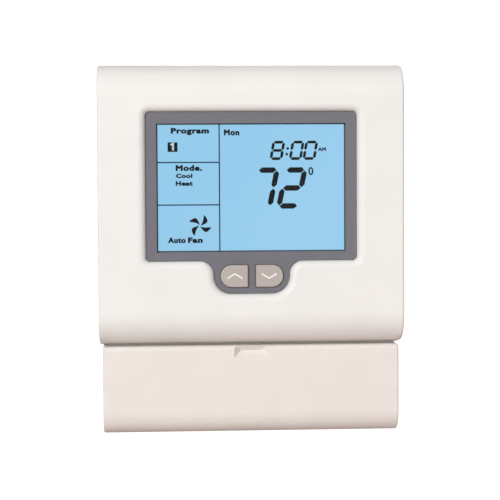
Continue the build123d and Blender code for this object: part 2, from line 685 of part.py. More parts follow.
for name, x in (("left_capacitor", -20.0), ("right_capacitor", -10.0)):
    with BuildPart() as capacitor:
        with BuildSketch(facing(POWER_BOARD_FRONT)):
            with Locations((x, 62.2)):
                Circle(3.1)
        extrude(amount=7.2)
        fillet(capacitor.faces().sort_by(Axis.Y)[0].edges(), 0.5)
    capacitor.part.label = name
    export_step(capacitor.part, f"parts/{name}.step")

with BuildPart() as inductor:
    with BuildSketch(facing(POWER_BOARD_FRONT)):
        with Locations((8, 62.0)):
            Circle(3.0)
    extrude(amount=1)
    with BuildSketch(facing(POWER_BOARD_FRONT + 1)):
        with Locations((8, 62.0)):
            Circle(2.0)
    extrude(amount=3)
    with BuildSketch(facing(POWER_BOARD_FRONT + 4)):
        with Locations((8, 62.0)):
            Circle(3.0)
    extrude(amount=1)
inductor.part.label = "inductor"
export_step(inductor.part, "parts/inductor.step")

CELL_X, CELL_Z, CELL_R = 34.0, -23.6, 10.0

with BuildPart() as coin_cell:
    with BuildSketch(facing(POWER_BOARD_FRONT + 0.6)):
        with Locations((CELL_X, CELL_Z)):
            Circle(CELL_R)
    extrude(amount=3.2)
    fillet(coin_cell.faces().sort_by(Axis.Y)[-1].edges(), 0.4)
coin_cell.part.label = "coin_cell"
export_step(coin_cell.part, "parts/coin_cell.step")

with BuildPart() as coin_cell_holder:
    with BuildSketch(facing(POWER_BOARD_FRONT)):
        with Locations((CELL_X, CELL_Z)):
            Circle(CELL_R + 1.0)
    extrude(amount=0.5)
    with BuildSketch(facing(POWER_BOARD_FRONT + 0.5)):
        with Locations((CELL_X, CELL_Z)):
            Circle(CELL_R + 1.0)
            Circle(CELL_R + 0.2, mode=Mode.SUBTRACT)
            Rectangle(3 * CELL_R, CELL_R, mode=Mode.SUBTRACT)
    extrude(amount=2.4)
coin_cell_holder.part.label = "coin_cell_holder"
export_step(coin_cell_holder.part, "parts/coin_cell_holder.step")

with BuildPart() as terminal_pins:
    add(block(0, TERMINAL_SOCKET_Z, TERMINAL_SIZE[0] - 2, 4, TERMINAL_FRONT + 0.2, POWER_BOARD_BACK))
    with BuildSketch(facing(TERMINAL_FRONT + 0.2)):
        with Locations((0, TERMINAL_SOCKET_Z)):
            with GridLocations(TERMINAL_PITCH, 0, TERMINALS, 1):
                Rectangle(0.7, 0.7)
    extrude(amount=-4.6)
terminal_pins.part.label = "terminal_pins"
export_step(terminal_pins.part, "parts/terminal_pins.step")

SENSOR_X, SENSOR_Z = -30.0, -56.0

with BuildPart() as temperature_sensor:
    with BuildSketch(facing(POWER_BOARD_FRONT)):
        with Locations((SENSOR_X, SENSOR_Z - 0.8), (SENSOR_X, SENSOR_Z + 0.8)):
            Circle(0.25)
    extrude(amount=1.6)
    with BuildSketch(facing(POWER_BOARD_FRONT + 1.4)):
        with Locations((SENSOR_X, SENSOR_Z)):
            Circle(1.3)
    extrude(amount=1.6)
    fillet(temperature_sensor.faces().sort_by(Axis.Y)[0].edges(), 0.6)
temperature_sensor.part.label = "temperature_sensor"
export_step(temperature_sensor.part, "parts/temperature_sensor.step")

# =============================== screws ===============================================================


def pan_screws(places, seat, into, shank_r, length, head_r, head_height):
    """Pan-head screws seated at one depth; into is 1 when they point away from the wall."""
    with BuildPart() as screws:
        with BuildSketch(facing(seat)):
            with Locations(*places):
                Circle(shank_r)
        extrude(amount=into * length)
        with BuildSketch(facing(seat)):
            with Locations(*places):
                Circle(head_r)
        extrude(amount=-into * head_height)
        with BuildSketch(facing(seat - into * head_height)):
            with Locations(*places):
                Rectangle(1.3 * head_r, 0.5)
                Rectangle(0.5, 1.3 * head_r)
        extrude(amount=into * 0.6 * head_height, mode=Mode.SUBTRACT)
    return screws.part


case_screws = pan_screws(CASE_SCREWS + CASE_SCREWS_LOW, CASE_FLOOR_BACK, 1, 1.3, 7.2, 2.7, 1.7)
case_screws.label = "case_screws"
export_step(case_screws, "parts/case_screws.step")

power_board_screws = pan_screws(POWER_SCREWS, POWER_BOARD_FRONT, -1, 1.25, 5.6, 2.4, 1.6)
power_board_screws.label = "power_board_screws"
export_step(power_board_screws, "parts/power_board_screws.step")

display_board_screws = pan_screws(DISPLAY_SCREWS, DISPLAY_BOARD_BACK, 1, 1.05, 5.6, 2.0, 1.4)
display_board_screws.label = "display_board_screws"
export_step(display_board_screws, "parts/display_board_screws.step")

# =============================== switches and keys ========================================================


def export_switch(name, x, z, board_front):
    """A push switch standing on a board: its body with a bore, and the plunger that slides in it."""
    top = board_front + SWITCH_HEIGHT
    with BuildPart() as switch:
        add(block(x, z, SWITCH_SIZE, SWITCH_SIZE, board_front, top))
        chamfer(switch.edges().filter_by(Axis.Y), 0.6)
        with BuildSketch(facing(top)):
            with Locations((x, z)):
                Circle(PLUNGER_HOLE_R)
        extrude(amount=-PLUNGER_HOLE_DEPTH, mode=Mode.SUBTRACT)
    switch.part.label = f"{name}_switch"
    export_step(switch.part, f"parts/{name}_switch.step")
    with BuildPart() as plunger:
        with BuildSketch(facing(top - PLUNGER_INSIDE)):
            with Locations((x, z)):
                Circle(PLUNGER_R)
        extrude(amount=PLUNGER_INSIDE + PLUNGER_PROUD)
        chamfer(plunger.faces().sort_by(Axis.Y)[0].edges(), 0.2)
    plunger.part.label = f"{name}_plunger"
    export_step(plunger.part, f"parts/{name}_plunger.step")


for side, name in ((-1, "up"), (1, "down")):
    export_switch(name, side * SWITCH_ARROW_X, ARROW_Z, DISPLAY_BOARD_FRONT)
    plunger_top = DISPLAY_BOARD_FRONT + SWITCH_HEIGHT + PLUNGER_PROUD
    with BuildPart() as arrow_key:
        extrude(arrow_outline(BEZEL_BACK - 0.1, side), amount=ARROW_FRONT - BEZEL_BACK + 0.1)
        fillet(arrow_key.faces().sort_by(Axis.Y)[0].edges(), 0.5)
        extrude(arrow_outline(BEZEL_BACK - 0.1, side, 0.75), amount=0.9)
        with BuildSketch(facing(plunger_top + 0.05)):
            with Locations((side * SWITCH_ARROW_X, ARROW_Z)):
                Circle(1.3)
        extrude(amount=BEZEL_BACK - plunger_top)
    arrow_key.part.label = f"{name}_button"
    export_step(arrow_key.part, f"parts/{name}_button.step")

for name, x in PANEL_KEYS.items():
    export_switch(name, x, PANEL_KEY_Z, POWER_BOARD_FRONT)
    key_back = POWER_BOARD_FRONT + SWITCH_HEIGHT + PLUNGER_PROUD + 0.05
    with BuildPart() as panel_key:
        with BuildSketch(facing(key_back)):
            with Locations((x, PANEL_KEY_Z)):
                RectangleRounded(PANEL_KEY_WIDTH, PANEL_KEY_HEIGHT, 1)
        extrude(amount=PANEL_KEY_FRONT - key_back)
        fillet(panel_key.faces().sort_by(Axis.Y)[0].edges(), 0.5)
        with BuildSketch(facing(key_back)):
            with Locations((x, PANEL_KEY_Z)):
                RectangleRounded(PANEL_KEY_WIDTH + 1.8, PANEL_KEY_HEIGHT + 1.8, 1.2)
        extrude(amount=PANEL_FRONT - PANEL_WALL - 0.1 - key_back)
    panel_key.part.label = f"{name}_button"
    export_step(panel_key.part, f"parts/{name}_button.step")

# =============================== door ===================================================================

DOOR_LOWER_CENTRE = (DOOR_FRONT - DOOR_LOWER_ROUND, BOTTOM + DOOR_LOWER_ROUND)
SWEEP_R = HINGE_Z - BOTTOM     # the door's lowest face is this far from the hinge axis

with BuildPart() as door:
    # outer shape: rounded along the top and the bottom, its back corner about the hinge
    back_drop = sqrt(SWEEP_R**2 - (HINGE_DEPTH - DOOR_BACK) ** 2)
    with BuildSketch(SIDE):
        with BuildLine():
            top_centre = DOOR_FRONT - DOOR_TOP_ROUND
            Line((DOOR_BACK, DOOR_TOP - DOOR_RETURN_FALL), (DOOR_RETURN_BACK, DOOR_TOP))
            Line((DOOR_RETURN_BACK, DOOR_TOP), (top_centre, DOOR_TOP))
            RadiusArc((top_centre, DOOR_TOP), (DOOR_FRONT, DOOR_TOP - DOOR_TOP_ROUND), DOOR_TOP_ROUND)
            Line((DOOR_FRONT, DOOR_TOP - DOOR_TOP_ROUND), (DOOR_FRONT, DOOR_LOWER_CENTRE[1]))
            RadiusArc(
                (DOOR_FRONT, DOOR_LOWER_CENTRE[1]), (DOOR_LOWER_CENTRE[0], BOTTOM), DOOR_LOWER_ROUND
            )
            Line((DOOR_LOWER_CENTRE[0], BOTTOM), (HINGE_DEPTH, BOTTOM))
            RadiusArc((HINGE_DEPTH, BOTTOM), (DOOR_BACK, HINGE_Z - back_drop), SWEEP_R)
            Line((DOOR_BACK, HINGE_Z - back_drop), (DOOR_BACK, DOOR_TOP - DOOR_RETURN_FALL))
        make_face()
    extrude(amount=DOOR_HALF, both=True)
    door_ends = door.faces().filter_by(Axis.X).edges()
    fillet(door_ends.filter_by_position(Axis.Y, -DOOR_FRONT, -DOOR_BACK - 0.01), DOOR_END_ROUND)
    # hollow between the cheeks, open at the back
    with BuildSketch(SIDE):
        with BuildLine():
            inner_front = DOOR_FRONT - DOOR_WALL
            inner_low = BOTTOM + DOOR_WALL
            Polyline(
                (DOOR_LOWER_CENTRE[0], inner_low),
                (HINGE_DEPTH, inner_low),
                (HINGE_DEPTH, BOTTOM - 1),
                (DOOR_BACK - 1, BOTTOM - 1),
                (DOOR_BACK - 1, DOOR_TOP + 1),
                (DOOR_RETURN_BACK, DOOR_TOP + 1),
                (DOOR_RETURN_BACK, DOOR_TOP - DOOR_SIDE),
                (inner_front, DOOR_TOP - DOOR_SIDE),
                (inner_front, DOOR_LOWER_CENTRE[1]),
            )
            RadiusArc(
                (inner_front, DOOR_LOWER_CENTRE[1]),
                (DOOR_LOWER_CENTRE[0], inner_low),
                DOOR_LOWER_ROUND - DOOR_WALL,
            )
        make_face()
    extrude(amount=DOOR_HALF - DOOR_SIDE, both=True, mode=Mode.SUBTRACT)
    # thick patch behind the thumb notch
    add(block(0, (NOTCH_PATCH_TOP + NOTCH_PATCH_LOW) / 2, 2 * NOTCH_HALF + 3.2,
              NOTCH_PATCH_TOP - NOTCH_PATCH_LOW, NOTCH_PATCH_BACK, DOOR_FRONT - 0.8))
    # stub pins of the hinge
    with BuildSketch(SIDE.offset(PANEL_HALF - PANEL_SIDE)):
        with Locations((HINGE_DEPTH, HINGE_Z)):
            Circle(HINGE_PIN_R)
    extrude(amount=DOOR_HALF - DOOR_SIDE / 2 - PANEL_HALF + PANEL_SIDE)
    with BuildSketch(SIDE.offset(PANEL_SIDE - PANEL_HALF)):
        with Locations((HINGE_DEPTH, HINGE_Z)):
            Circle(HINGE_PIN_R)
    extrude(amount=-(DOOR_HALF - DOOR_SIDE / 2 - PANEL_HALF + PANEL_SIDE))
    # thumb notch: a groove with its deepest line near the top and sloped ends
    with BuildSketch(facing(DOOR_FRONT)):
        with Locations((0, (NOTCH_TOP + NOTCH_LOW) / 2)):
            Rectangle(2 * NOTCH_HALF, NOTCH_TOP - NOTCH_LOW)
    with BuildSketch(facing(DOOR_FRONT - NOTCH_DEEP)):
        with Locations((0, NOTCH_DEEP_Z)):
            Rectangle(2 * (NOTCH_HALF - NOTCH_RUN), 0.1)
    loft(ruled=True, mode=Mode.SUBTRACT)
    lip_edge = door.edges().filter_by(Axis.X).filter_by_position(
        Axis.Z, NOTCH_LOW - 0.01, NOTCH_LOW + 0.01
    )
    fillet(lip_edge, NOTCH_LIP_ROUND)
door.part.label = "door"
export_step(door.part, "parts/door.step")

with BuildPart() as door_label:
    with BuildSketch(facing(DOOR_FRONT - DOOR_WALL - 0.15)):
        with Locations((0, -54.5)):
            RectangleRounded(100, 15, 2)
    extrude(amount=0.15)
door_label.part.label = "door_label"
export_step(door_label.part, "parts/door_label.step")
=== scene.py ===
import bmesh
import bpy
import json
from math import atan2, cos, hypot, pi, radians, sin
from mathutils import Matrix, Vector


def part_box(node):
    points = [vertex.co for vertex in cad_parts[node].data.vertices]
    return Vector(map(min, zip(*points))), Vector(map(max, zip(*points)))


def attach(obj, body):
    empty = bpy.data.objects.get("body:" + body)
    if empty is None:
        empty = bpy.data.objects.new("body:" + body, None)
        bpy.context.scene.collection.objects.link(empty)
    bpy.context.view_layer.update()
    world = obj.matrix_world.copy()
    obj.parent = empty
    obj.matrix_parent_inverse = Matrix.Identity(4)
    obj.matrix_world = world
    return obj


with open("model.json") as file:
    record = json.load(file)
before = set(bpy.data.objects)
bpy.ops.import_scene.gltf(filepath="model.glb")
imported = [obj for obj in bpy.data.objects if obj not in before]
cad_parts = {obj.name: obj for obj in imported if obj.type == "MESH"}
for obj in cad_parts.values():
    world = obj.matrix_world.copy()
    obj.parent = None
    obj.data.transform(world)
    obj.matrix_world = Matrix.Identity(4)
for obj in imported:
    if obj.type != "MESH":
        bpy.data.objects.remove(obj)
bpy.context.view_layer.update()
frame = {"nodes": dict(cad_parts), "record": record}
nodes = frame["nodes"]

MM = 0.001
PRINT = 0.03 * MM              # thickness of printed ink

# ---------------------------------------------------------------------------
# Places, read from the frame.  Depth is the distance from the wall, -y.
# ---------------------------------------------------------------------------


def front_of(node):
    """Depth of a node's front face, in metres."""
    return -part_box(node)[0].y


def centre_of(node):
    """Middle of a node's box as (x, z), in metres."""
    low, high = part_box(node)
    return (low.x + high.x) / 2, (low.z + high.z) / 2


GLASS_FRONT = front_of("lcd_front_glass")
PANEL_FRONT = 17.0 * MM        # face of the control panel behind the door


# ---------------------------------------------------------------------------
# Materials
# ---------------------------------------------------------------------------


def linear(red, green, blue):
    """Scene-linear colour from 8-bit display values."""

    def one(value):
        value /= 255
        return value / 12.92 if value <= 0.04045 else ((value + 0.055) / 1.055) ** 2.4

    return one(red), one(green), one(blue), 1.0


def scaled(color, factor):
    return tuple(min(1.0, c * factor) for c in color[:3]) + (1.0,)


class Shader:
    """A new material with one principled shader, and short calls for the nodes that feed it."""

    def __init__(self, name):
        self.material = bpy.data.materials.new(name)
        self.material.use_nodes = True
        self.tree = self.material.node_tree
        self.bsdf = self.tree.nodes["Principled BSDF"]
        self.place = self.tree.nodes.new("ShaderNodeTexCoord").outputs["Object"]

    def set(self, **values):
        for key, value in values.items():
            self.bsdf.inputs[key.replace("_", " ")].default_value = value

    def link(self, output, socket):
        self.tree.links.new(output, self.bsdf.inputs[socket])

    def node(self, kind, inputs=(), **settings):
        made = self.tree.nodes.new(kind)
        for key, value in settings.items():
            setattr(made, key, value)
        for key, value in dict(inputs).items():
            if isinstance(value, bpy.types.NodeSocket):
                self.tree.links.new(value, made.inputs[key])
            else:
                made.inputs[key].default_value = value
        return made

    def noise(self, size, detail=2.0, roughness=0.5, stretch=None):
        """Noise whose features are about this many metres across."""
        place = self.place
        if stretch:
            mapping = self.node("ShaderNodeMapping", {"Vector": place, "Scale": stretch})
            place = mapping.outputs["Vector"]
        made = self.node(
            "ShaderNodeTexNoise",
            {"Vector": place, "Scale": 1 / size, "Detail": detail, "Roughness": roughness},
        )
        return made.outputs["Fac"]

    def range(self, value, low, high, to_low, to_high):
        made = self.node(
            "ShaderNodeMapRange",
            {"Value": value, "From Min": low, "From Max": high, "To Min": to_low, "To Max": to_high},
        )
        return made.outputs["Result"]

    def mix(self, factor, first, second):
        made = self.node("ShaderNodeMix", data_type="RGBA")
        for index, value in ((0, factor), (6, first), (7, second)):
            if isinstance(value, bpy.types.NodeSocket):
                self.tree.links.new(value, made.inputs[index])
            else:
                made.inputs[index].default_value = value
        return made.outputs[2]

    def bump(self, height, distance, strength=1.0, normal=None):
        inputs = {"Height": height, "Distance": distance, "Strength": strength}
        if normal is not None:
            inputs["Normal"] = normal
        return self.node("ShaderNodeBump", inputs).outputs["Normal"]


def moulded(name, color, roughness=0.45, grain=0.35 * MM, depth=0.012 * MM, drift=0.03, specular=0.4):
    """Moulded plastic: spark-eroded grain, faint flow drift in its colour, uneven satin."""
    shader = Shader(name)
    cloud = shader.noise(22 * MM, detail=3)
    speck = shader.noise(0.9 * MM, detail=1)
    wide = shader.mix(
        shader.range(cloud, 0.3, 0.7, 0, 1), scaled(color, 1 - drift), scaled(color, 1 + drift / 3)
    )
    specked = shader.mix(shader.range(speck, 0.55, 0.8, 0, 0.25), wide, scaled(color, 0.94))
    shader.link(specked, "Base Color")
    satin = shader.range(shader.noise(6 * MM), 0.3, 0.7, roughness - 0.04, roughness + 0.05)
    shader.link(satin, "Roughness")
    fine = shader.bump(shader.noise(grain, detail=4, roughness=0.6), depth, 0.6)
    shader.link(shader.bump(cloud, 0.05 * MM, 0.15, fine), "Normal")
    shader.set(Specular_IOR_Level=specular)
    return shader.material


def metal(name, color, roughness=0.3, brushed=(1, 1, 1), tarnish=0.15):
    """Plated metal with fine brush marks and a little tarnish."""
    shader = Shader(name)
    stain = shader.noise(3 * MM, detail=4)
    stained = shader.mix(shader.range(stain, 0.4, 0.75, 0, tarnish), color, scaled(color, 0.4))
    shader.link(stained, "Base Color")
    lines = shader.noise(0.25 * MM, detail=2, stretch=brushed)
    shader.link(shader.range(lines, 0.3, 0.7, roughness - 0.08, roughness + 0.12), "Roughness")
    shader.link(shader.bump(lines, 0.01 * MM, 0.5), "Normal")
    shader.set(Metallic=1.0)
    return shader.material


def circuit_board(name):
    """Solder mask over copper: tracks show as slightly raised paler lines, with a pour between."""
    shader = Shader(name)
    upright = shader.node("ShaderNodeMapping", {"Vector": shader.place, "Rotation": (pi / 2, 0, 0)})
    tracks = shader.node(
        "ShaderNodeTexBrick",
        {"Vector": upright.outputs["Vector"], "Scale": 160.0, "Mortar Size": 0.035,
         "Mortar Smooth": 0.2, "Brick Width": 1.4, "Row Height": 0.22},
        offset=0.37,
    )
    line = tracks.outputs["Fac"]
    base = shader.mix(shader.noise(8 * MM), linear(14, 74, 40), linear(20, 92, 50))
    shader.link(shader.mix(line, base, linear(54, 128, 72)), "Base Color")
    shader.link(shader.range(shader.noise(2 * MM), 0.3, 0.7, 0.25, 0.4), "Roughness")
    shader.link(shader.bump(line, 0.04 * MM, 0.6), "Normal")
    shader.set(Specular_IOR_Level=0.6)
    return shader.material


def clear(name, color, alpha, roughness=0.06):
    """Clear polished plastic or glass, with the faintest unevenness in its polish."""
    shader = Shader(name)
    shader.link(shader.mix(shader.noise(9 * MM), color, scaled(color, 0.97)), "Base Color")
    shader.link(shader.range(shader.noise(5 * MM), 0.3, 0.7, roughness, roughness + 0.04), "Roughness")
    shader.link(shader.bump(shader.noise(30 * MM), 0.01 * MM, 0.1), "Normal")
    shader.set(Alpha=alpha, Specular_IOR_Level=0.3)
    return shader.material


def painted_glow_display_glass(name):
    """The display cell: pale blue, its lit colour painted on as an even glow in place of the light falling
    on it, with the polariser's very fine mottle.
    """
    shader = Shader(name)
    fine = shader.noise(0.6 * MM, detail=2)
    wide = shader.noise(45 * MM, detail=1)
    glow = shader.mix(
        shader.range(wide, 0.35, 0.65, 0, 1), linear(151, 207, 240), linear(156, 210, 243)
    )
    glow = shader.mix(shader.range(fine, 0.4, 0.7, 0, 0.3), glow, linear(150, 205, 238))
    # painted glow: this emission colour stands in for the light the display would catch
    shader.link(glow, "Emission Color")
    shader.link(shader.mix(fine, linear(30, 42, 50), linear(34, 47, 56)), "Base Color")
    shader.link(shader.range(fine, 0.3, 0.7, 0.2, 0.26), "Roughness")
    shader.set(Emission_Strength=1.02, Specular_IOR_Level=0.1)
    return shader.material


def ink_and_painted_shade(name, color, roughness=0.5):
    """Printed or switched-on ink, very slightly uneven; also the painted shade round the display's edge."""
    shader = Shader(name)
    spread = shader.noise(0.5 * MM, detail=3)
    shader.link(shader.mix(shader.range(spread, 0.35, 0.7, 0, 1), color, scaled(color, 0.9)), "Base Color")
    shader.link(shader.range(spread, 0.3, 0.7, roughness - 0.05, roughness + 0.08), "Roughness")
    shader.set(Specular_IOR_Level=0.2)
    return shader.material


COVER_COLOR = linear(240, 237, 233)
DOOR_COLOR = linear(236, 228, 222)

by_slot = {
    "cover_plastic": moulded("cover_plastic", COVER_COLOR, roughness=0.5),
    "case_plastic": moulded("case_plastic", linear(236, 232, 226), roughness=0.52),
    "door_plastic": moulded("door_plastic", DOOR_COLOR, roughness=0.5),
    "plate_plastic": moulded(
        "plate_plastic", linear(226, 223, 216), roughness=0.6, depth=0.02 * MM
    ),
    "bezel_plastic": moulded("bezel_plastic", linear(112, 111, 118), roughness=0.42, grain=0.25 * MM),
    "arrow_key_plastic": moulded("arrow_key_plastic", linear(184, 175, 168), roughness=0.4, grain=0.25 * MM),
    "panel_key_plastic": moulded("panel_key_plastic", linear(150, 150, 156), roughness=0.45),
    "window_clear": clear("window_clear", linear(24, 26, 30), 0.05),
    "lcd_glass": painted_glow_display_glass("lcd_glass"),
    "light_guide_clear": clear("light_guide_clear", linear(225, 240, 250), 0.6, roughness=0.4),
    "led_package": moulded("led_package", linear(244, 242, 226), roughness=0.3, grain=0.2 * MM),
    "holder_plastic": moulded("holder_plastic", linear(240, 240, 240), roughness=0.5),
    "contact_elastomer": moulded("contact_elastomer", linear(200, 130, 140), roughness=0.7),
    "circuit_board": circuit_board("circuit_board"),
    "component_black": moulded("component_black", linear(38, 38, 40), roughness=0.55, grain=0.15 * MM),
    "connector_plastic": moulded("connector_plastic", linear(34, 34, 36), roughness=0.45),
    "crystal_can": metal("crystal_can", linear(206, 206, 208), 0.25, (1, 1, 20)),
    "capacitor_sleeve": moulded("capacitor_sleeve", linear(26, 28, 52), roughness=0.3),
    "inductor_ferrite": moulded("inductor_ferrite", linear(62, 60, 62), roughness=0.7, depth=0.03 * MM),
    "relay_case": moulded("relay_case", linear(226, 228, 230), roughness=0.35),
    "cell_steel": metal("cell_steel", linear(212, 212, 208), 0.22, (1, 1, 1)),
    "terminal_plastic": moulded("terminal_plastic", linear(58, 104, 66), roughness=0.5),
    "terminal_metal": metal("terminal_metal", linear(206, 178, 116), 0.3),
    "pin_metal": metal("pin_metal", linear(214, 186, 122), 0.22),
    "sensor_bead": moulded("sensor_bead", linear(28, 28, 30), roughness=0.3),
    "screw_steel": metal("screw_steel", linear(198, 200, 204), 0.3, (20, 1, 1)),
    "switch_body": moulded("switch_body", linear(46, 46, 48), roughness=0.5),
    "switch_plunger": moulded("switch_plunger", linear(170, 66, 58), roughness=0.45),
    "label_film": moulded("label_film", linear(240, 239, 234), roughness=0.35, depth=0.004 * MM),
}

for part in frame["record"]["subparts"]:
    mesh = nodes[part["node"]].data
    mesh.materials.clear()
    mesh.materials.append(by_slot[part["material_slot"]])

lcd_black = ink_and_painted_shade("lcd_black", linear(10, 12, 16))
lcd_line = ink_and_painted_shade("lcd_line", linear(34, 58, 84))
# painted shade colour for the dark band round the display's recessed edge
lcd_recess_shade = ink_and_painted_shade("lcd_recess_shade", linear(82, 96, 108))
lcd_pale = ink_and_painted_shade("lcd_pale", linear(205, 232, 246))
print_white = ink_and_painted_shade("print_white", linear(250, 250, 246))
print_grey = ink_and_painted_shade("print_grey", linear(96, 96, 100))


# ---------------------------------------------------------------------------
# Thin printed shapes.  Outlines are lists of (x, z) points in millimetres.
# ---------------------------------------------------------------------------


def printed(name, outlines, depth, material, body, thickness=PRINT):
    """A piece made of flat printed shapes that lie on the surface at this depth."""
    made = bmesh.new()
    for outline in outlines:
        rings = []
        for distance in (depth, depth + thickness):
            rings.append([made.verts.new((x * MM, -distance, z * MM)) for x, z in outline])
        back, front = rings
        made.faces.new(front)
        made.faces.new(back[::-1])
        for i in range(len(front)):
            j = (i + 1) % len(front)
            made.faces.new((front[i], back[i], back[j], front[j]))
    bmesh.ops.recalc_face_normals(made, faces=made.faces)
    return finished(name, made, material, body)


def finished(name, made, material, body):
    """Turns a bmesh into a piece with its material and body."""
    mesh = bpy.data.meshes.new(name)
    made.to_mesh(mesh)
    made.free()
    mesh.materials.append(material)
    piece = bpy.data.objects.new(name, mesh)
    bpy.context.scene.collection.objects.link(piece)
    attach(piece, body)
    return piece


def rectangle(x0, z0, x1, z1):
    return [(x0, z0), (x1, z0), (x1, z1), (x0, z1)]


def stroke(points, width):
    """Outline of a polyline drawn with a pen of this width, with mitred corners."""
    half = width / 2
    left, right = [], []
    for i, (x, z) in enumerate(points):
        before = points[max(i - 1, 0)]
        after = points[min(i + 1, len(points) - 1)]
        first = atan2(z - before[1], x - before[0]) if i else None
        second = atan2(after[1] - z, after[0] - x) if i < len(points) - 1 else None
        first = second if first is None else first
        second = first if second is None else second
        middle = (first + second) / 2
        reach = half / cos((second - first) / 2)
        left.append((x - sin(middle) * reach, z + cos(middle) * reach))
        right.append((x + sin(middle) * reach, z - cos(middle) * reach))
    return left + right[::-1]


def oval(x, z, half_width, half_height, start=0.0, turn=2 * pi, steps=24):
    """Points round an oval, or along part of it."""
    closed = turn > 6.28
    count = steps if closed else steps + 1
    angles = [start + turn * i / steps for i in range(count)]
    return [(x + half_width * cos(a), z + half_height * sin(a)) for a in angles]


def ring(x, z, half_width, half_height, pen):
    """An oval ring as two halves, so that each outline stays simple."""
    halves = []
    for start in (0, pi):
        outer = oval(x, z, half_width + pen / 2, half_height + pen / 2, start, pi)
        inner = oval(x, z, half_width - pen / 2, half_height - pen / 2, start, pi)
        halves.append(outer + inner[::-1])
    return halves


# ---- seven-segment figures ----

SEGMENTS = {"0": "abcdef", "2": "abged", "7": "abc", "8": "abcdefg"}


def bar(start, end, width):
    """A segment with pointed ends between two points."""
    (x0, z0), (x1, z1) = start, end
    length = hypot(x1 - x0, z1 - z0)
    ux, uz = (x1 - x0) / length, (z1 - z0) / length
    half = width / 2
    px, pz = -uz * half, ux * half
    return [
        (x0, z0),
        (x0 + ux * half + px, z0 + uz * half + pz),
        (x1 - ux * half + px, z1 - uz * half + pz),
        (x1, z1),
        (x1 - ux * half - px, z1 - uz * half - pz),
        (x0 + ux * half - px, z0 + uz * half - pz),
    ]


def figure(digit, x, z, width, height, thick, slant):
    """Outlines of one slanted seven-segment figure; x, z is its lower left corner."""
    half = thick / 2
    gap = 0.1 * thick
    left, right = half, width - half
    low, middle, high = half, height / 2, height - half
    ends = {
        "a": ((left + gap, high), (right - gap, high)),
        "b": ((right, high - gap), (right, middle + gap)),
        "c": ((right, middle - gap), (right, low + gap)),
        "d": ((left + gap, low), (right - gap, low)),
        "e": ((left, middle - gap), (left, low + gap)),
        "f": ((left, high - gap), (left, middle + gap)),
        "g": ((left + gap, middle), (right - gap, middle)),
    }
    outlines = []
    for letter in SEGMENTS[digit]:
        outline = bar(*ends[letter], thick)
        outlines.append([(x + px + slant * pz, z + pz) for px, pz in outline])
    return outlines


# ---- words in a plain built-in typeface ----

BOLD = 0.06              # how far a bold letter's outline is let out, for letters one unit high
EXTRUDE = 0.01           # half the flat thickness of a letter, for letters one unit high
LETTER_GAP = 2.2         # extra space between bold letters, for each unit of BOLD


def lettering(text, bold):
    """Mesh of a word one unit high, lying in its own XY plane and thickened along Z."""
    curve = bpy.data.curves.new("lettering", "FONT")
    curve.body = text
    curve.space_character = 1 + LETTER_GAP * bold
    curve.extrude = EXTRUDE
    curve.bevel_depth = bold
    curve.bevel_resolution = 0
    source = bpy.data.objects.new("lettering", curve)
    mesh = bpy.data.meshes.new_from_object(source)
    bpy.data.objects.remove(source)
    return mesh


def capital_height(bold):
    mesh = lettering("H", bold)
    return max(v.co.y for v in mesh.vertices) + bold


def words(name, lines, depth, material, body, bold=BOLD, thickness=PRINT, inside=False):
    """Printed words; each line is (text, left, right, baseline, capital height) in millimetres.

    Words on an inner face are read with the head downwards, from the wall's side."""
    made = bmesh.new()
    capital = capital_height(bold)
    flip = -1 if inside else 1
    for text, left, right, base, cap in lines:
        mesh = lettering(text, bold)
        low = min(v.co.x for v in mesh.vertices)
        high = max(v.co.x for v in mesh.vertices)
        across = (right - left) / (high - low)
        up = cap / capital
        deep = EXTRUDE + bold
        for v in mesh.vertices:
            x = left + (v.co.x - low) * across
            z = base + flip * (v.co.y + bold) * up
            forward = (v.co.z + deep) / (2 * deep) * thickness
            v.co = (x * MM, -depth - flip * forward, z * MM)
        made.from_mesh(mesh)
        bpy.data.meshes.remove(mesh)
    bmesh.ops.remove_doubles(made, verts=made.verts, dist=1e-7)
    bmesh.ops.recalc_face_normals(made, faces=made.faces)
    return finished(name, made, material, body)


# ---------------------------------------------------------------------------
# What the display shows
# ---------------------------------------------------------------------------

LCD = GLASS_FRONT + 0.01 * MM
LCD_LEFT, LCD_RIGHT = -36.85, 37.05
LCD_TOP, LCD_LOW = 49.75, -0.05
# width of the painted shade band round the display's edge
RECESS_SHADE_WIDTH = 1.3
COLUMN = -12.5
ROWS = (34.9, 18.1)
LINE = 0.25

# painted shade: a dark band just inside the bezel's opening, standing in for the shade along the recessed
# window's edge
recess_shade_bands = [
    rectangle(LCD_LEFT - RECESS_SHADE_WIDTH, LCD_LOW - RECESS_SHADE_WIDTH, LCD_LEFT, LCD_TOP + RECESS_SHADE_WIDTH),
    rectangle(LCD_RIGHT, LCD_LOW - RECESS_SHADE_WIDTH, LCD_RIGHT + RECESS_SHADE_WIDTH, LCD_TOP + RECESS_SHADE_WIDTH),
    rectangle(LCD_LEFT, LCD_TOP, LCD_RIGHT, LCD_TOP + RECESS_SHADE_WIDTH),
    rectangle(LCD_LEFT, LCD_LOW - RECESS_SHADE_WIDTH, LCD_RIGHT, LCD_LOW),
]
printed("lcd_painted_recess_shade", recess_shade_bands, LCD, lcd_recess_shade, "head")

grid = [rectangle(COLUMN - LINE, LCD_LOW, COLUMN + LINE, LCD_TOP)]
for row in ROWS:
    grid.append(rectangle(LCD_LEFT, row - LINE, COLUMN - LINE, row + LINE))
printed("lcd_grid", grid, LCD, lcd_line, "head")

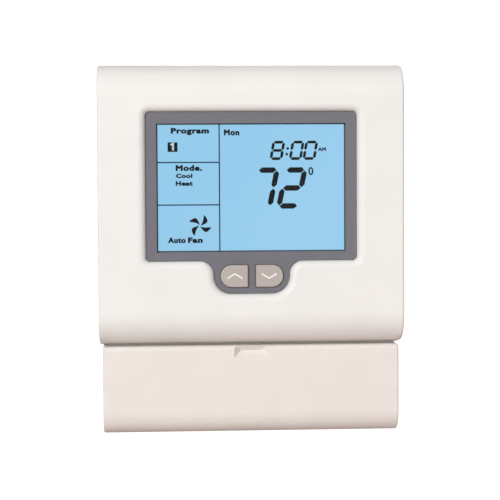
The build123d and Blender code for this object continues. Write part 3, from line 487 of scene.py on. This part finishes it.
words(
    "lcd_words",
    [
        ("Program", -31.6, -16.5, 46.3, 2.25),
        ("Mon", -10.65, -4.5, 45.5, 2.4),
        ("Mode.", -29.8, -19.3, 31.55, 2.35),
        ("Cool", -29.7, -23.2, 28.75, 1.75),
        ("Heat", -29.8, -23.1, 25.7, 1.85),
        ("Auto", -33.1, -26.0, 3.05, 2.25),
        ("Fan", -25.1, -19.3, 3.05, 2.25),
        ("AM", 26.7, 29.9, 39.2, 1.45),
    ],
    LCD, lcd_black, "head",
)

TEMPERATURE_SLANT = 0.205
temperature = []
for digit, x in (("7", -1.25), ("2", 9.8)):
    temperature += figure(digit, x, 16.4, 9.55, 16.4, 2.15, TEMPERATURE_SLANT)
printed("lcd_temperature", temperature, LCD, lcd_black, "head")

CLOCK_SLANT = 0.17
clock = []
for digit, x in (("8", 7.35), ("0", 15.0), ("0", 20.45)):
    clock += figure(digit, x, 35.7, 5.15, 7.6, 1.1, CLOCK_SLANT)
for x, z in ((14.66, 40.25), (14.3, 38.0)):
    clock.append(oval(x, z, 0.52, 0.52))
printed("lcd_clock", clock, LCD, lcd_black, "head")

printed("lcd_degree", ring(23.85, 31.25, 0.72, 1.3, 0.6), LCD, lcd_black, "head")

BLADE_TIPS = (68, -8, 158, 241)        # directions of the fan's blade tips, degrees


def blade(turn, x, z, reach):
    """One fan blade: a nearly straight edge out to the tip, and a full one that bulges beside it."""
    steps = 14
    straight, full = [], []
    for i in range(steps + 1):
        t = i / steps
        along = reach * (0.07 + 0.93 * t)
        straight.append((along, -0.11 * reach * sin(pi * t) * (1 - t) - 0.05 * reach * (1 - t)))
        full.append((along, -reach * (0.13 * (1 - t) + 0.4 * sin(pi * t**1.15))))
    outline = straight + full[-2::-1]
    return [
        (x + u * cos(turn) - v * sin(turn), z + u * sin(turn) + v * cos(turn)) for u, v in outline
    ]


fan = [blade(radians(tip), -20.35, 9.85, 4.65) for tip in BLADE_TIPS]
printed("lcd_fan", fan, LCD, lcd_black, "head")

printed("lcd_period", [rectangle(-32.9, 39.1, -29.0, 42.85)], LCD, lcd_black, "head")
period_one = stroke([(-31.7, 41.75), (-30.75, 42.3), (-30.75, 39.6)], 0.8)
printed("lcd_period_figure", [period_one], LCD + PRINT, lcd_pale, "head")

# ---------------------------------------------------------------------------
# Marks on the keys and the control panel
# ---------------------------------------------------------------------------

CHEVRON_X = 6.8
CHEVRON_HALF = 3.0
CHEVRON_RISE = 1.8
CHEVRON_PEN = 0.55

for name, side, sign in (("up", -1, 1), ("down", 1, -1)):
    x, z = side * CHEVRON_X, centre_of(name + "_button")[1] / MM
    peak, ends = z + sign * CHEVRON_RISE / 2, z - sign * CHEVRON_RISE / 2
    chevron = stroke([(x - CHEVRON_HALF, ends), (x, peak), (x + CHEVRON_HALF, ends)], CHEVRON_PEN)
    printed(name + "_chevron", [chevron], front_of(name + "_button"), print_white,
            name + "_key", 0.05 * MM)

WORD_HALF = 0.62               # half a word's width, for each of its letters
WORD_RISE = 4.6                # baseline of a key's name above the key's middle
RULE_ROWS = 4
RULE_RISE = 6.4                # first line above the label's lower edge
RULE_PITCH = 1.7
RULE_LENGTH = 12.4
RULE_SHORT = 7.2               # the last line of each paragraph
RULE_PEN = 0.5

panel_words = []
label_words = []
label_rules = []
LABEL_BACK = -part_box("door_label")[1].y
LABEL_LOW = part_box("door_label")[0].z / MM
for name in ("program", "mode", "fan", "clock", "hold"):
    x, z = (value / MM for value in centre_of(name + "_button"))
    half = WORD_HALF * len(name)
    panel_words.append((name.title(), x - half, x + half, z + WORD_RISE, 1.5))
    label_words.append((name.title(), x - half * 0.9, x + half * 0.9, LABEL_LOW + 2.4, 1.4))
    for row in range(RULE_ROWS):
        rule_z = LABEL_LOW + RULE_RISE + RULE_PITCH * row
        length = RULE_LENGTH if row < RULE_ROWS - 1 else RULE_SHORT
        left = x - RULE_LENGTH / 2
        label_rules.append(rectangle(left, rule_z, left + length, rule_z + RULE_PEN))
words("panel_words", panel_words, PANEL_FRONT, print_grey, "head")
words("label_words", label_words, LABEL_BACK, print_grey, "flip_door", inside=True)
printed("label_rules", label_rules, LABEL_BACK - PRINT, print_grey, "flip_door")

TERMINAL_FRONT = front_of("terminal_block")
TERMINAL_COUNT = 8
TERMINAL_PITCH = 7.0
TERMINAL_MARK_Z = 20.55        # between the screw wells and the pin sockets
terminal_marks = []
for i in range(TERMINAL_COUNT):
    x = (i - (TERMINAL_COUNT - 1) / 2) * TERMINAL_PITCH
    terminal_marks.append((str(i + 1), x - 0.5, x + 0.5, TERMINAL_MARK_Z, 1.5))
words("terminal_numbers", terminal_marks, TERMINAL_FRONT, print_white, "wall_base")

# ---------------------------------------------------------------------------
# Stage: floor, light and camera
# ---------------------------------------------------------------------------


def pale_studio():
    """A pale floor that curves up into a round wall and a dome, all far outside the thermostat."""
    floor_z, reach, bend, wall_top, dome = -0.6, 6.0, 1.5, 3.0, 3.0
    steps = 12
    profile = [(0.0, floor_z)]
    for i in range(steps + 1):
        a = pi / 2 * i / steps
        profile.append((reach - bend + bend * sin(a), floor_z + bend - bend * cos(a)))
    for i in range(steps + 1):
        a = pi / 2 * i / steps
        profile.append((reach * cos(a), wall_top + dome * sin(a)))
    made = bmesh.new()
    rim = [made.verts.new((r, 0, z)) for r, z in profile]
    edges = [made.edges.new(pair) for pair in zip(rim, rim[1:])]
    bmesh.ops.spin(made, geom=rim + edges, axis=(0, 0, 1), angle=2 * pi, steps=64, cent=(0, 0, 0))
    bmesh.ops.remove_doubles(made, verts=made.verts, dist=1e-4)
    bmesh.ops.recalc_face_normals(made, faces=made.faces)
    mesh = bpy.data.meshes.new("floor")
    made.to_mesh(mesh)
    made.free()
    for polygon in mesh.polygons:
        polygon.use_smooth = True
    floor = bpy.data.objects.new("floor", mesh)
    bpy.context.scene.collection.objects.link(floor)
    shader = Shader("floor")
    shader.set(
        Base_Color=(0.9, 0.9, 0.9, 1),
        Roughness=0.9,
        Emission_Color=(1, 1, 1, 1),
        Emission_Strength=0.85,
    )
    mesh.materials.append(shader.material)
    # the pale surround shows behind the thermostat, and the lights alone shade it
    floor.visible_diffuse = False
    floor.visible_glossy = False
    floor.visible_shadow = False


def area_light(name, position, target, size, power, color=(1, 1, 1)):
    data = bpy.data.lights.new(name, "AREA")
    data.shape = "RECTANGLE"
    data.size, data.size_y = size
    data.energy = power
    data.color = color
    light = bpy.data.objects.new(name, data)
    bpy.context.scene.collection.objects.link(light)
    light.location = position
    direction = Vector(target) - Vector(position)
    light.rotation_mode = "QUATERNION"
    light.rotation_quaternion = direction.to_track_quat("-Z", "Y")
    return light


pale_studio()
area_light("key", (-0.85, -1.4, 0.6), (0, 0, 0), (0.5, 0.5), 20.0, (0.895, 0.957, 0.97))
area_light("fill", (0.6, -1.6, 0.05), (0, 0, 0), (1.0, 1.0), 6.2, (1.0, 0.98, 1.0))
area_light("top", (0.0, -0.3, 1.3), (0, 0, 0), (1.2, 0.8), 0.8)
area_light("bounce", (0.0, -0.6, -1.3), (0, 0, 0), (1.0, 0.6), 1.6, (1.0, 0.6, 0.42))
area_light("back", (0.5, 1.5, 0.5), (0, 0, 0), (1.0, 1.0), 9.0, (0.96, 0.98, 1.0))

world = bpy.data.worlds.new("studio")
world.use_nodes = True
world.node_tree.nodes["Background"].inputs["Color"].default_value = (1.0, 0.89, 0.85, 1)
world.node_tree.nodes["Background"].inputs["Strength"].default_value = 0.335
bpy.context.scene.world = world
bpy.context.scene.view_settings.view_transform = "Standard"

CAMERA_PLACE = Vector((-0.04028, -0.67615, 0.02938))
CAMERA_FORWARD = Vector((0.06066701, 0.99715592, -0.04471668))
CAMERA_UP = Vector((0.00813504, 0.04430377, 0.99898498))
PICTURE_ANGLE = 17.226             # degrees across the frame

camera_data = bpy.data.cameras.new("camera")
camera_data.sensor_width = 36.0
camera_data.angle = radians(PICTURE_ANGLE)
camera_data.clip_start = 0.01
camera_data.clip_end = 50.0
camera = bpy.data.objects.new("camera", camera_data)
bpy.context.scene.collection.objects.link(camera)
right = CAMERA_FORWARD.cross(CAMERA_UP).normalized()
up = right.cross(CAMERA_FORWARD).normalized()
camera.matrix_world = Matrix.Translation(CAMERA_PLACE) @ Matrix(
    (right, up, -CAMERA_FORWARD.normalized())
).transposed().to_4x4()
bpy.context.scene.camera = camera
